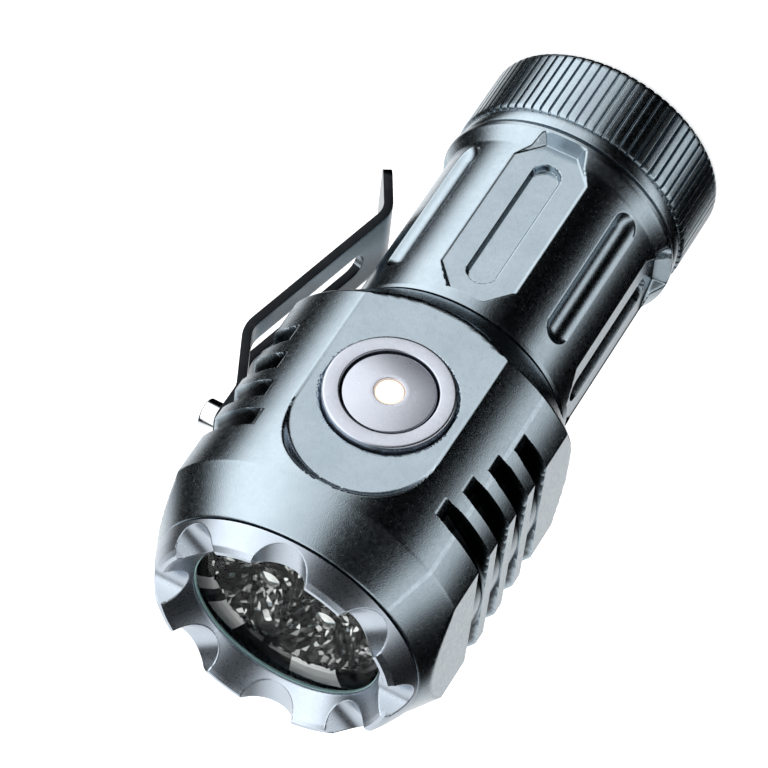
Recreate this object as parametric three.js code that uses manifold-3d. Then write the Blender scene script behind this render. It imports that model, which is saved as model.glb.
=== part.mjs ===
// Keychain flashlight: a short single-cell light with a big head, a side button and a spring clip.
// Millimetres. The light stands on its flat tail, +Z points along the beam, the button faces -Y
// and the clip is on the +X side.

import * as THREE from 'three';
import { mergeVertices } from 'three/addons/utils/BufferGeometryUtils.js';
import Module from 'manifold-3d';

const wasm = await Module();
wasm.setup();

// ---- driving dimensions ----------------------------------------------------------------------

const GAP = 0.3; // clearance left between touching pieces
const SIDES = 40; // facets round the outer shells
const SMALL_SIDES = 20; // facets round small and internal pieces

const CAP_R = 12.25; // tail cap over the ribs
const CAP_LENGTH = 9.6;
const CAP_BAND_R = 12.0; // smooth band above the ribs
const CAP_FLOOR = 1.6;
const CAP_BORE_R = 10.9;
const RIB_COUNT = 80;
const RIB_DEPTH = 0.35;
const RIB_TOP_Z = 8.2;

const TUBE_R = 11.5; // body tube, made for an 18350 cell
const TUBE_BORE_R = 9.5;
const TUBE_FLANGE_R = 12.3;
const TUBE_Z = CAP_LENGTH + GAP;
const FLANGE_TOP_Z = 12.0;
const TUBE_NECK_R = 10.5; // threaded neck inside the cap
const TUBE_SEAL_R = 9.85; // floor of the neck's seal groove
const TUBE_CLOCKING = 1.5; // degrees the tube's pattern is turned against the head
const PANEL_DEPTH_Y = 10.75; // flat panel's distance from the axis
const PANEL_HALF_W = 3.75;
const PANEL_Z = [11.1, 30.4];
const PANEL_CORNER = [2.1, 2.4]; // corner cut across and along the panel
const POCKET_HALF_W = 1.5; // obround recess in the panel
const POCKET_Z = [13.0, 28.6];
const POCKET_DEPTH = 0.5;
const GROOVE_ANGLE = 46.5; // groove's angle from the panel beside it, degrees
const GROOVE_R = 1.9; // radius of the round cutter
const GROOVE_DEPTH = 0.75;
const GROOVE_Z = [12.1, 29.3];

const HEAD_R = 16.0;
const HEAD_Z = 32.2; // where the head's rear cone leaves the tube
const HEAD_RIM_Z = 37.1; // end of the rear cone
const HEAD_FRONT_CONE_Z = 58.9;
const HEAD_END_Z = 63.3;
const HEAD_END_R = 13.45;
const HEAD_BORE_R = 11.2; // driver pocket
const HEAD_WEB_Z = [50.5, 52.6]; // shelf between the driver and the emitters
const HEAD_FRONT_BORE_R = 12.2;
const FLAT_X = 14.1; // side flats, distance from the axis
const FIN_Z = [42.4, 46.05, 49.65, 53.3]; // centres of the cooling grooves
const FIN_WIDTH = 2.0;
const FIN_FLOOR_R = 13.55;
const FIN_START_ANGLE = [44, 48, 51.5, 55]; // half span of each groove about the X axis, degrees
const FIN_RAMP = 14; // degrees over which a groove reaches its full depth

const PAD_Y = 14.2; // button pad's distance from the axis
const PAD_HALF_W = 7.1;
const PAD_ROUND_Z = 49.9; // centre of the pad's round end
const BUTTON_Z = 46.1;
const SWITCH_HOLE_R = 6.4;
const SWITCH_LEDGE_Y = 11.7;
const BUTTON_RING_R = [4.7, 6.1];
const BUTTON_RING_Y = [12.75, 15.0];
const BUTTON_R = 4.35;
const BUTTON_Y = [13.4, 14.75];
const INDICATOR_R = 1.15;

const BEZEL_Z = HEAD_END_Z + GAP;
const BEZEL_CREST = [11.75, 66.1]; // radius and height of the crenellated edge
const BEZEL_LIP_R = 9.6;
const SCALLOP_COUNT = 8;
const SCALLOP_R = 2.7;
const SCALLOP_FLOOR_Z = 63.9;

const LED_RADIUS = 4.4; // emitters' distance from the axis
const LED_ANGLE = 26;
const LED_COUNT = 4;

const CLIP_HALF_W = 4.1;
const CLIP_T = 0.9;
const CLIP_BASE_X = FLAT_X + GAP + 0.05 + CLIP_T / 2; // centreline of the strip on its seat
const CLIP_FRONT_Z = 50.0;
const CLIP_BEND_Z = 45.7;
const CLIP_SHOULDER = [17.7, 39.55];
const CLIP_HEEL = [12.95, 20.87];
const CLIP_TIP = [15.75, 16.0];
const CLIP_SLOT_HALF_W = 1.5;
const CLIP_SLOT_Z = [24.4, 41.6];
const SCREW_Z = 47.5;
const SCREW_HEAD_R = 1.55;
const SCREW_HEAD_HEIGHT = 1.9;
const SCREW_SHANK_R = 0.85;

const CELL_Z = [5.4, 38.6];
const CELL_R = 9.15;
const CELL_BUTTON_R = 3.2;
const CELL_BUTTON_TOP_Z = 39.6;

// Heights of the inner pieces, low and high.
const TAIL_BOARD_Z = [CAP_FLOOR + GAP, 2.5];
const TAIL_SPRING_Z = [3.15, 4.75];
const TUBE_NECK_Z = [5.4, 38.0];
const SEAL_GROOVE_Z = [6.9, 8.5];
const TAIL_ORING_Z = [7.2, 8.2];
const HEAD_ORING_Z = [38.3, 39.3];
const HEAD_SPRING_Z = [40.3, 41.6];
const DRIVER_RING_Z = [40.6, 42.0];
const DRIVER_BOARD_Z = [42.4, 43.4];
const LEAD_Z = [43.7, 53.2];
const LED_BOARD_Z = [52.9, 54.0];
const LED_GASKET_Z = [54.3, 55.0];
const OPTIC_Z = [55.3, 59.0, 61.1]; // foot of the four cups, disc's back, disc's face
const LENS_ORING_Z = [60.1, 61.1];
const GLASS_Z = [61.4, 62.9];

const SPRING_WIRE_R = 0.3;
const TAIL_SPRING_R = [5.0, 3.2]; // at the board, at the cell
const HEAD_SPRING_R = [2.2, 3.6]; // at the cell, at the board
const DRIVER_FLAT_Y = -8.6; // driver board's edge beside the switch
const SWITCH_BOARD = { width: 9.6, thickness: 0.8, height: 6.2, y: -9.3, z: 47.1 };
const SWITCH_BODY = { side: 5.0, depth: 1.3, y: -10.7 };
const SWITCH_BOOT_Y = [-12.45, -12.0];
const SWITCH_BORE_R = 5.0; // opening under the ledge, for the switch
const SWITCH_BORE_Y = -9;
const LED_SIDE = 3.4;
const LED_HEIGHT = 0.6;
const LED_MIDDLE_Z = 54.6;
const OPTIC_R = 9.5;
const OPTIC_CUP_R = [4.4, 2.0]; // at the disc, at the emitter
const GLASS_R = 10.8;
const BEZEL_SKIRT_LOW_Z = 58.4;
const LEAD_R = 0.5;
const LEAD_X = 0.9;
const WIRE_HOLE_R = 2.0;
const SCREW_HOLE_R = 1.25;
const LANYARD_HOLE = { radius: 0.85, tilt: 62, turn: -78 };

// ---- finishes --------------------------------------------------------------------------------

const finish = (color, roughness, metalness) => ({ color, roughness, metalness });
const ANODISED = finish('#6d7f8c', 0.38, 0.9);
const BEZEL_SATIN = finish('#aebac8', 0.28, 1.0);
const SPRING_STEEL = finish('#3a4046', 0.35, 0.9);
const BRIGHT_STEEL = finish('#c9d2d8', 0.25, 1.0);
const GOLD_CONTACT = finish('#c9a24b', 0.3, 1.0);
const BOARD_GREEN = finish('#1f4d3a', 0.6, 0.0);
const BOARD_WHITE = finish('#e8e8e4', 0.5, 0.0);
const BLACK_RUBBER = finish('#151618', 0.8, 0.0);
const CLEAR_GLASS = finish('#dff0ee', 0.03, 0.0);
const CLEAR_OPTIC = finish('#9aa0a0', 0.08, 0.0);
const EMITTER = finish('#f2e48a', 0.4, 0.0);
const INDICATOR = finish('#fff6e6', 0.3, 0.0);
const CELL_WRAP = finish('#2f6f9a', 0.45, 0.0);
const RED_WIRE = finish('#a5231f', 0.5, 0.0);
const BLACK_WIRE = finish('#1b1b1d', 0.5, 0.0);

// ---- solids ----------------------------------------------------------------------------------

const radians = THREE.MathUtils.degToRad;

function solid(geometry) {
  const plain = geometry.index ? geometry.toNonIndexed() : geometry.clone();
  plain.deleteAttribute('normal');
  plain.deleteAttribute('uv');
  const merged = mergeVertices(plain, 1e-4);
  return new wasm.Manifold(
    new wasm.Mesh({
      numProp: 3,
      vertProperties: new Float32Array(merged.attributes.position.array),
      triVerts: new Uint32Array(merged.index.array),
    }),
  );
}

function geometryOf(manifold) {
  const mesh = manifold.getMesh();
  const geometry = new THREE.BufferGeometry();
  geometry.setAttribute('position', new THREE.BufferAttribute(new Float32Array(mesh.vertProperties), 3));
  geometry.setIndex(new THREE.BufferAttribute(new Uint32Array(mesh.triVerts), 1));
  geometry.computeVertexNormals();
  return geometry;
}

// A solid of revolution about Z from [radius, z] points that run anticlockwise, closed on itself.
function turned(points, sides = SIDES) {
  const profile = points.map(([r, z]) => new THREE.Vector2(r, z));
  profile.push(profile[0].clone());
  const geometry = new THREE.LatheGeometry(profile, sides);
  geometry.rotateX(Math.PI / 2);
  const body = solid(geometry);
  if (body.volume() >= 0) return body;
  return solid(reversed(geometry));
}

function reversed(geometry) {
  const index = geometry.index;
  for (let i = 0; i < index.count; i += 3) {
    const first = index.getX(i);
    index.setX(i, index.getX(i + 1));
    index.setX(i + 1, first);
  }
  return geometry;
}

function rod(radius, low, high, sides = SMALL_SIDES) {
  const geometry = new THREE.CylinderGeometry(radius, radius, high - low, sides);
  geometry.rotateX(Math.PI / 2);
  geometry.translate(0, 0, (low + high) / 2);
  return solid(geometry);
}

function ring(inner, outer, low, high, sides = SMALL_SIDES + 4) {
  return turned([[inner, low], [outer, low], [outer, high], [inner, high]], sides);
}

function block(width, depth, height, x, y, z) {
  return solid(new THREE.BoxGeometry(width, depth, height).translate(x, y, z));
}

// An outline in X and Y, raised along Z.
function raised(shape, low, high, curveSegments = 12) {
  const geometry = new THREE.ExtrudeGeometry(shape, { depth: high - low, bevelEnabled: false, curveSegments });
  geometry.translate(0, 0, low);
  return solid(geometry);
}

// An outline drawn in X and Z, carried along Y from near (most negative) to far.
function acrossY(shape, near, far, curveSegments = 10) {
  const geometry = new THREE.ExtrudeGeometry(shape, { depth: far - near, bevelEnabled: false, curveSegments });
  geometry.rotateX(Math.PI / 2);
  geometry.translate(0, far, 0);
  return solid(geometry);
}

// A cylinder along Y at the button's height.
function buttonRod(radius, nearY, farY, sides = SIDES) {
  const geometry = new THREE.CylinderGeometry(radius, radius, farY - nearY, sides);
  geometry.translate(0, (nearY + farY) / 2, BUTTON_Z);
  return solid(geometry);
}

function obroundShape(halfWidth, low, high) {
  const shape = new THREE.Shape();
  shape.moveTo(-halfWidth, low + halfWidth);
  shape.absarc(0, low + halfWidth, halfWidth, Math.PI, 2 * Math.PI, false);
  shape.absarc(0, high - halfWidth, halfWidth, 0, Math.PI, false);
  shape.closePath();
  return shape;
}

const turn = (manifold, degrees) => manifold.rotate([0, 0, degrees]);

const light = new THREE.Group();
light.name = 'keychain_flashlight';

function place(name, manifold, { color, roughness, metalness }) {
  const material = new THREE.MeshStandardMaterial({ color, roughness, metalness });
  const mesh = new THREE.Mesh(geometryOf(manifold), material);
  mesh.name = name;
  light.add(mesh);
}

// ---- tail cap --------------------------------------------------------------------------------

function ribbedOutline() {
  const shape = new THREE.Shape();
  const pitch = (2 * Math.PI) / RIB_COUNT;
  const corners = [[-0.5, CAP_R - RIB_DEPTH], [-0.3, CAP_R], [0.3, CAP_R]];
  for (let i = 0; i < RIB_COUNT; i += 1) {
    corners.forEach(([offset, radius], k) => {
      const angle = (i + offset) * pitch;
      const draw = i === 0 && k === 0 ? 'moveTo' : 'lineTo';
      shape[draw](radius * Math.cos(angle), radius * Math.sin(angle));
    });
  }
  shape.closePath();
  return shape;
}

function tailCap() {
  const chamfer = 0.5;
  const valleyR = CAP_R - RIB_DEPTH;
  const core = turned([
    [0, 0],
    [valleyR - chamfer, 0],
    [valleyR - 0.05, chamfer],
    [valleyR - 0.05, RIB_TOP_Z - 0.1],
    [CAP_BAND_R, RIB_TOP_Z - 0.1],
    [CAP_BAND_R, CAP_LENGTH],
    [0, CAP_LENGTH],
  ]);
  const ribs = raised(ribbedOutline(), chamfer, RIB_TOP_Z);
  const bore = rod(CAP_BORE_R, CAP_FLOOR, CAP_LENGTH + 1, SIDES);
  return core.add(ribs).subtract(bore);
}

// A conical coil spring of round wire, from its first radius and height to its last.
function helix([firstR, lastR], [low, high], turns) {
  const stepsPerTurn = 10;
  const sectionSegments = 3;
  class Coil extends THREE.Curve {
    getPoint(t) {
      const angle = t * turns * 2 * Math.PI;
      const radius = firstR + t * (lastR - firstR);
      return new THREE.Vector3(radius * Math.cos(angle), radius * Math.sin(angle), low + t * (high - low));
    }
  }
  const section = new THREE.Shape().absarc(0, 0, SPRING_WIRE_R, 0, 2 * Math.PI, false);
  return solid(
    new THREE.ExtrudeGeometry(section, {
      extrudePath: new Coil(),
      steps: Math.round(turns * stepsPerTurn),
      curveSegments: sectionSegments,
      bevelEnabled: false,
    }),
  );
}

place('tail_cap', tailCap(), ANODISED);
place('tail_contact_board', rod(CAP_BORE_R - GAP, ...TAIL_BOARD_Z, SIDES), BOARD_GREEN);
place('tail_spring', helix(TAIL_SPRING_R, TAIL_SPRING_Z, 2), GOLD_CONTACT);
place('tail_oring', ring(TUBE_SEAL_R + 0.25, CAP_BORE_R - 0.25, ...TAIL_ORING_Z), BLACK_RUBBER);

// ---- body tube -------------------------------------------------------------------------------

function panelCutter() {
  const [low, high] = PANEL_Z;
  const [cutX, cutZ] = PANEL_CORNER;
  const shape = new THREE.Shape();
  shape.moveTo(-PANEL_HALF_W, low + cutZ);
  shape.lineTo(-PANEL_HALF_W + cutX, low);
  shape.lineTo(PANEL_HALF_W - cutX, low);
  shape.lineTo(PANEL_HALF_W, low + cutZ);
  shape.lineTo(PANEL_HALF_W, high - cutZ);
  shape.lineTo(PANEL_HALF_W - cutX, high);
  shape.lineTo(-PANEL_HALF_W + cutX, high);
  shape.lineTo(-PANEL_HALF_W, high - cutZ);
  shape.closePath();
  const flat = acrossY(shape, -TUBE_FLANGE_R - 1, -PANEL_DEPTH_Y);
  const pocket = acrossY(
    obroundShape(POCKET_HALF_W, ...POCKET_Z),
    -TUBE_FLANGE_R - 1,
    -PANEL_DEPTH_Y + POCKET_DEPTH,
    6,
  );
  return flat.add(pocket);
}

// A round-nosed groove along the tube, centred on -Y.
function grooveCutter() {
  const [low, high] = GROOVE_Z;
  const centre = TUBE_R - GROOVE_DEPTH + GROOVE_R;
  const geometry = new THREE.CapsuleGeometry(GROOVE_R, high - low - 2 * GROOVE_R, 3, 12);
  geometry.rotateX(Math.PI / 2);
  geometry.translate(0, -centre, (low + high) / 2);
  return solid(geometry);
}

function lanyardHole() {
  const geometry = new THREE.CylinderGeometry(LANYARD_HOLE.radius, LANYARD_HOLE.radius, 6, 12);
  geometry.rotateX(radians(LANYARD_HOLE.tilt));
  geometry.translate(0, -TUBE_FLANGE_R + 0.1, TUBE_Z + 1.35);
  return turn(solid(geometry), LANYARD_HOLE.turn);
}

function bodyTube() {
  const [neckLow, neckHigh] = TUBE_NECK_Z;
  const neckR = HEAD_BORE_R - GAP;
  let tube = turned([
    [TUBE_BORE_R, neckLow],
    [TUBE_NECK_R, neckLow],
    [TUBE_NECK_R, TUBE_Z],
    [TUBE_FLANGE_R - 0.25, TUBE_Z],
    [TUBE_FLANGE_R, TUBE_Z + 0.25],
    [TUBE_FLANGE_R, TUBE_Z + 0.9],
    [TUBE_R, FLANGE_TOP_Z],
    [TUBE_R, HEAD_Z - GAP],
    [neckR, HEAD_Z - GAP],
    [neckR, neckHigh],
    [TUBE_BORE_R, neckHigh],
  ]);
  const panel = panelCutter();
  const groove = grooveCutter();
  for (let quarter = 0; quarter < 4; quarter += 1) {
    tube = tube.subtract(turn(panel, quarter * 90));
  }
  for (const side of [0, 180]) {
    tube = tube.subtract(turn(groove, side + GROOVE_ANGLE));
    tube = tube.subtract(turn(groove, side - GROOVE_ANGLE));
  }
  tube = tube.subtract(ring(TUBE_SEAL_R, TUBE_NECK_R + 1, ...SEAL_GROOVE_Z, SIDES));
  tube = tube.subtract(lanyardHole());
  return turn(tube, TUBE_CLOCKING);
}

place('body_tube', bodyTube(), ANODISED);
place('cell_can', rod(CELL_R, ...CELL_Z, SIDES), CELL_WRAP);
place('cell_positive_button', rod(CELL_BUTTON_R, CELL_Z[1] + GAP, CELL_BUTTON_TOP_Z), BRIGHT_STEEL);

// ---- head housing ----------------------------------------------------------------------------

// One cooling groove, open outward, whose ends ramp out to the rim on both sides of the X axis.
function finCutter(halfSpan, centreZ) {
  const shape = new THREE.Shape();
  const outer = HEAD_R + 1;
  const arcSteps = 8;
  const point = (radius, degrees) => [radius * Math.cos(radians(degrees)), radius * Math.sin(radians(degrees))];
  const ramp = [[0, HEAD_R + 0.05], [0.3, HEAD_R - 0.5], [0.65, FIN_FLOOR_R + 0.6], [1, FIN_FLOOR_R]];
  shape.moveTo(...point(outer, -halfSpan));
  for (const [share, radius] of ramp) shape.lineTo(...point(radius, -halfSpan + share * FIN_RAMP));
  const floor = halfSpan - FIN_RAMP;
  for (let i = 1; i < arcSteps; i += 1) {
    shape.lineTo(...point(FIN_FLOOR_R, -floor + (2 * floor * i) / arcSteps));
  }
  for (const [share, radius] of ramp.toReversed()) shape.lineTo(...point(radius, halfSpan - share * FIN_RAMP));
  shape.lineTo(...point(outer, halfSpan));
  for (let i = 1; i < arcSteps; i += 1) {
    shape.lineTo(...point(outer, halfSpan - (2 * halfSpan * i) / arcSteps));
  }
  shape.closePath();
  return raised(shape, centreZ - FIN_WIDTH / 2, centreZ + FIN_WIDTH / 2);
}

function padCutter() {
  const shape = new THREE.Shape();
  shape.moveTo(PAD_HALF_W + 0.25, HEAD_Z - 1);
  shape.lineTo(PAD_HALF_W, PAD_ROUND_Z);
  shape.absarc(0, PAD_ROUND_Z, PAD_HALF_W, 0, Math.PI, false);
  shape.lineTo(-PAD_HALF_W - 0.25, HEAD_Z - 1);
  shape.closePath();
  return acrossY(shape, -HEAD_R - 1, -PAD_Y, 16);
}

function headHousing() {
  const rearR = TUBE_R + 0.05;
  let head = turned([
    [HEAD_BORE_R, HEAD_Z],
    [rearR, HEAD_Z],
    [HEAD_R, HEAD_RIM_Z],
    [HEAD_R, HEAD_FRONT_CONE_Z],
    [HEAD_END_R, HEAD_END_Z],
    [HEAD_FRONT_BORE_R, HEAD_END_Z],
    [HEAD_FRONT_BORE_R, HEAD_WEB_Z[1]],
    [WIRE_HOLE_R, HEAD_WEB_Z[1]],
    [WIRE_HOLE_R, HEAD_WEB_Z[0]],
    [HEAD_BORE_R, HEAD_WEB_Z[0]],
  ]);
  const middle = (HEAD_Z + HEAD_END_Z) / 2;
  for (const side of [-1, 1]) {
    head = head.subtract(block(4, 40, 40, side * (FLAT_X + 2), 0, middle));
  }
  FIN_Z.forEach((z, i) => {
    const fin = finCutter(FIN_START_ANGLE[i], z);
    head = head.subtract(fin).subtract(turn(fin, 180));
  });
  head = head.subtract(padCutter());
  head = head.subtract(buttonRod(SWITCH_HOLE_R, -HEAD_R, -SWITCH_LEDGE_Y));
  head = head.subtract(buttonRod(SWITCH_BORE_R, -SWITCH_LEDGE_Y - 1, SWITCH_BORE_Y));
  const screwSeat = solid(new THREE.CylinderGeometry(SCREW_HOLE_R, SCREW_HOLE_R, 8, 16).rotateZ(Math.PI / 2));
  return head.subtract(screwSeat.translate([FLAT_X, 0, SCREW_Z]));
}

place('head_housing', headHousing(), ANODISED);
place('head_oring', ring(9.8, 10.75, ...HEAD_ORING_Z), BLACK_RUBBER);
place('driver_retaining_ring', ring(9.6, 10.9, ...DRIVER_RING_Z), GOLD_CONTACT);

// The driver board is cut straight on the button side, where the switch board stands.
function driverBoard() {
  const [low, high] = DRIVER_BOARD_Z;
  const cut = block(30, 10, 10, 0, DRIVER_FLAT_Y - 5, (low + high) / 2);
  return rod(HEAD_BORE_R - GAP, low, high, SIDES).subtract(cut);
}

place('driver_board', driverBoard(), BOARD_GREEN);
place('head_contact_spring', helix(HEAD_SPRING_R, HEAD_SPRING_Z, 1.5), GOLD_CONTACT);

// ---- side button -----------------------------------------------------------------------------

function switchBoard() {
  const { width, thickness, height, y, z } = SWITCH_BOARD;
  return block(width, thickness, height, 0, y, z);
}

function tactileSwitch() {
  const { side, depth, y } = SWITCH_BODY;
  return block(side, depth, side, 0, y, BUTTON_Z);
}

place('switch_board', switchBoard(), BOARD_GREEN);
place('tactile_switch', tactileSwitch(), BLACK_RUBBER);
place('switch_boot', buttonRod(SWITCH_HOLE_R - GAP, ...SWITCH_BOOT_Y), BLACK_RUBBER);

function buttonRing() {
  const [near, far] = [-BUTTON_RING_Y[1], -BUTTON_RING_Y[0]];
  return buttonRod(BUTTON_RING_R[1], near, far).subtract(buttonRod(BUTTON_RING_R[0], near - 1, far + 1));
}

function buttonCap() {
  const cap = buttonRod(BUTTON_R, -BUTTON_Y[1], -BUTTON_Y[0]);
  const rim = new THREE.CylinderGeometry(INDICATOR_R + 0.35, BUTTON_R, 0.25, SIDES);
  rim.rotateX(Math.PI);
  rim.translate(0, -BUTTON_Y[1] - 0.125, BUTTON_Z);
  return cap.add(solid(rim)).subtract(buttonRod(INDICATOR_R + 0.3, -20, -14.2, SMALL_SIDES));
}

place('button_ring', buttonRing(), BEZEL_SATIN);
place('button_cap', buttonCap(), BEZEL_SATIN);
place('indicator_lens', buttonRod(INDICATOR_R, -15.0, -14.5, SMALL_SIDES), INDICATOR);

// ---- emitters, optic and glass ---------------------------------------------------------------

const ledSpots = Array.from({ length: LED_COUNT }, (_, i) => {
  const angle = radians(LED_ANGLE + (i * 360) / LED_COUNT);
  return [LED_RADIUS * Math.cos(angle), LED_RADIUS * Math.sin(angle)];
});

place('led_board', ring(2.2, 11.7, ...LED_BOARD_Z), BOARD_WHITE);
ledSpots.forEach(([x, y], i) => {
  place(`led_${i + 1}`, block(LED_SIDE, LED_SIDE, LED_HEIGHT, x, y, LED_MIDDLE_Z), EMITTER);
});
place('led_gasket', ring(8.6, 11.6, ...LED_GASKET_Z), BOARD_WHITE);

function quadOptic() {
  const [foot, back, face] = OPTIC_Z;
  const cupTop = back + 0.2;
  let optic = rod(OPTIC_R, back, face, SIDES);
  for (const [x, y] of ledSpots) {
    const cup = new THREE.CylinderGeometry(...OPTIC_CUP_R, cupTop - foot, SMALL_SIDES);
    cup.rotateX(Math.PI / 2);
    cup.translate(x, y, (cupTop + foot) / 2);
    optic = optic.add(solid(cup));
  }
  return optic;
}

place('quad_optic', quadOptic(), CLEAR_OPTIC);
place('lens_oring', ring(9.8, 10.8, ...LENS_ORING_Z), BLACK_RUBBER);
place('glass_lens', rod(GLASS_R, ...GLASS_Z, SIDES), CLEAR_GLASS);

place('lead_positive', rod(LEAD_R, ...LEAD_Z, 8).translate([LEAD_X, 0, 0]), RED_WIRE);
place('lead_negative', rod(LEAD_R, ...LEAD_Z, 8).translate([-LEAD_X, 0, 0]), BLACK_WIRE);

// ---- bezel -----------------------------------------------------------------------------------

function bezelRing() {
  const skirtR = HEAD_FRONT_BORE_R - GAP;
  const seatR = GLASS_R + GAP;
  const seatTop = GLASS_Z[1] + GAP;
  const [crestR, crestZ] = BEZEL_CREST;
  let bezel = turned([
    [BEZEL_LIP_R, seatTop],
    [seatR, seatTop],
    [seatR, BEZEL_SKIRT_LOW_Z],
    [skirtR, BEZEL_SKIRT_LOW_Z],
    [skirtR, BEZEL_Z],
    [HEAD_END_R, BEZEL_Z],
    [12.95, 64.75],
    [12.45, 65.7],
    [crestR + 0.2, crestZ],
    [crestR - 0.15, crestZ],
    [crestR - 0.45, 65.8],
    [BEZEL_LIP_R, BEZEL_Z],
  ]);
  const cutter = new THREE.CylinderGeometry(SCALLOP_R, SCALLOP_R, 8, 16);
  cutter.translate(0, -HEAD_END_R + 1, SCALLOP_FLOOR_Z + SCALLOP_R);
  const scallop = solid(cutter);
  for (let i = 0; i < SCALLOP_COUNT; i += 1) {
    bezel = bezel.subtract(turn(scallop, (i * 360) / SCALLOP_COUNT));
  }
  return bezel;
}

place('bezel_ring', bezelRing(), BEZEL_SATIN);

// ---- clip ------------------------------------------------------------------------------------

// The strip's side outline in X and Z: a polyline of the given centre points, thickened.
function stripShape(centre) {
  const offsets = centre.map(([x, z], i) => {
    const before = centre[Math.max(i - 1, 0)];
    const after = centre[Math.min(i + 1, centre.length - 1)];
    const into = new THREE.Vector2(x - before[0], z - before[1]).normalize();
    const out = new THREE.Vector2(after[0] - x, after[1] - z).normalize();
    const along = into.clone().add(out).normalize();
    const stretch = 1 / along.dot(i === 0 ? out : into); // keeps the thickness through a bend
    return [-along.y * (CLIP_T / 2) * stretch, along.x * (CLIP_T / 2) * stretch];
  });
  const outer = centre.map(([x, z], i) => [x + offsets[i][0], z + offsets[i][1]]);
  const inner = centre.map(([x, z], i) => [x - offsets[i][0], z - offsets[i][1]]).reverse();
  const shape = new THREE.Shape();
  [...outer, ...inner].forEach(([x, z], i) => (i ? shape.lineTo(x, z) : shape.moveTo(x, z)));
  shape.closePath();
  return shape;
}

function clipArm() {
  const arm = acrossY(
    stripShape([[CLIP_BASE_X, CLIP_BEND_Z - GAP], CLIP_SHOULDER, CLIP_HEEL, CLIP_TIP]),
    -CLIP_HALF_W,
    CLIP_HALF_W,
  );
  const slot = new THREE.ExtrudeGeometry(obroundShape(CLIP_SLOT_HALF_W, ...CLIP_SLOT_Z), {
    depth: 10,
    bevelEnabled: false,
    curveSegments: 6,
  });
  slot.rotateX(Math.PI / 2);
  slot.rotateZ(Math.PI / 2);
  slot.translate(12, 0, 0);
  return arm.subtract(solid(slot));
}

function clipBase() {
  const base = acrossY(
    stripShape([[CLIP_BASE_X, CLIP_FRONT_Z], [CLIP_BASE_X, CLIP_BEND_Z]]),
    -CLIP_HALF_W,
    CLIP_HALF_W,
  );
  const hole = solid(new THREE.CylinderGeometry(SCREW_HOLE_R, SCREW_HOLE_R, 4, 16).rotateZ(Math.PI / 2));
  return base.subtract(hole.translate([CLIP_BASE_X, 0, SCREW_Z]));
}

function clipScrew() {
  const headLow = CLIP_BASE_X + CLIP_T / 2 + GAP;
  const head = rod(SCREW_HEAD_R, headLow, headLow + SCREW_HEAD_HEIGHT);
  const shank = rod(SCREW_SHANK_R, 11.7, headLow + 0.2, 16);
  const socket = rod(0.75, headLow + 1.0, headLow + 3, 6);
  return head.add(shank).subtract(socket).rotate([0, 90, 0]).translate([0, 0, SCREW_Z]);
}

place('clip_base', clipBase(), SPRING_STEEL);
place('clip_arm', clipArm(), SPRING_STEEL);
place('clip_screw', clipScrew(), BRIGHT_STEEL);

export default light;
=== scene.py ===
"""Keychain flashlight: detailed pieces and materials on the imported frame.

Shapes are worked out in millimetres, in the frame's own axes, and scaled to metres as meshes are
made. The light stands on its tail, +Z runs along the beam, the button faces -Y, the clip is at +X.
"""

import math

import bpy
import numpy as np
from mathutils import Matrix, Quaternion, Vector


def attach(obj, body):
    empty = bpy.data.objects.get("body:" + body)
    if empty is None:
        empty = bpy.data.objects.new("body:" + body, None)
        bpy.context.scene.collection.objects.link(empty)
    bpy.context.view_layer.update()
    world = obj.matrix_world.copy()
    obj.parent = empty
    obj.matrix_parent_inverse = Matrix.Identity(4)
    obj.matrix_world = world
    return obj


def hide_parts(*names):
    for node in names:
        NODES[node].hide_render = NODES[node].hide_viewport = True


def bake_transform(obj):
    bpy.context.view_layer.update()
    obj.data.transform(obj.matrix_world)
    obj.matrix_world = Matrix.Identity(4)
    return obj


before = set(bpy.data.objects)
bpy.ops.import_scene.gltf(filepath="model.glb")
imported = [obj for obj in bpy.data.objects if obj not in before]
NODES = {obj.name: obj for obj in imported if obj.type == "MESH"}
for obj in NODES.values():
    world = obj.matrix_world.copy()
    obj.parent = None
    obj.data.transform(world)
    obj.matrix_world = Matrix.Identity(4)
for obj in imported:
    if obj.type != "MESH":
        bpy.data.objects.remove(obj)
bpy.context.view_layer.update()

MM = 0.001

# ---- sizes, in millimetres -------------------------------------------------------------------

CAP_R = 12.25
CAP_VALLEY_R = 11.88
CAP_BAND_R = 12.0
CAP_TOP = 9.6
CAP_BORE_R = 10.9
CAP_FLOOR = 1.6
RIB_COUNT = 80
RIB_TOP = 8.2
RIB_COLUMNS = 12  # mesh columns across one rib and its groove
RIB_EDGE = (0.325, 0.435)  # where a rib's flank runs, in shares of the spacing from its middle

TUBE_CLOCKING = 1.5  # degrees
TUBE_R = 11.5
PANEL_D = 10.75  # panel plane, from the axis
PANEL_HALF = (3.75, 9.65)
PANEL_CORNER = (2.1, 2.4)
PANEL_MID_Z = 20.75
POCKET_HALF = 1.5
POCKET_Z = (13.0, 28.6)
POCKET_DEPTH = 0.75
POCKET_WALL = 0.15
SIDE_SLOPE = 0.9  # how steeply a panel's long walls rise, per millimetre across
END_SLOPE = 2.6
GROOVE_ANGLE = 46.5
GROOVE_R = 1.9
GROOVE_CENTRE = TUBE_R - 0.75 + GROOVE_R
GROOVE_Z = (14.0, 27.4)  # centres of its round ends
HOLE_ANGLE = -166.5
HOLE_Z = 11.3
HOLE_DEPTH = 1.6
TUBE_BORE_R = 9.5
NECK_BOTTOM = 5.4
NECK_GROOVE_R = 9.85  # floor of the seal's groove
NECK_LAND_R = 10.46
NECK_THREAD_R = 10.36
NECK_THREAD_DEPTH = 0.14
NECK_THREAD_PITCH = 0.75
SEAL_Z = 7.7

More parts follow.
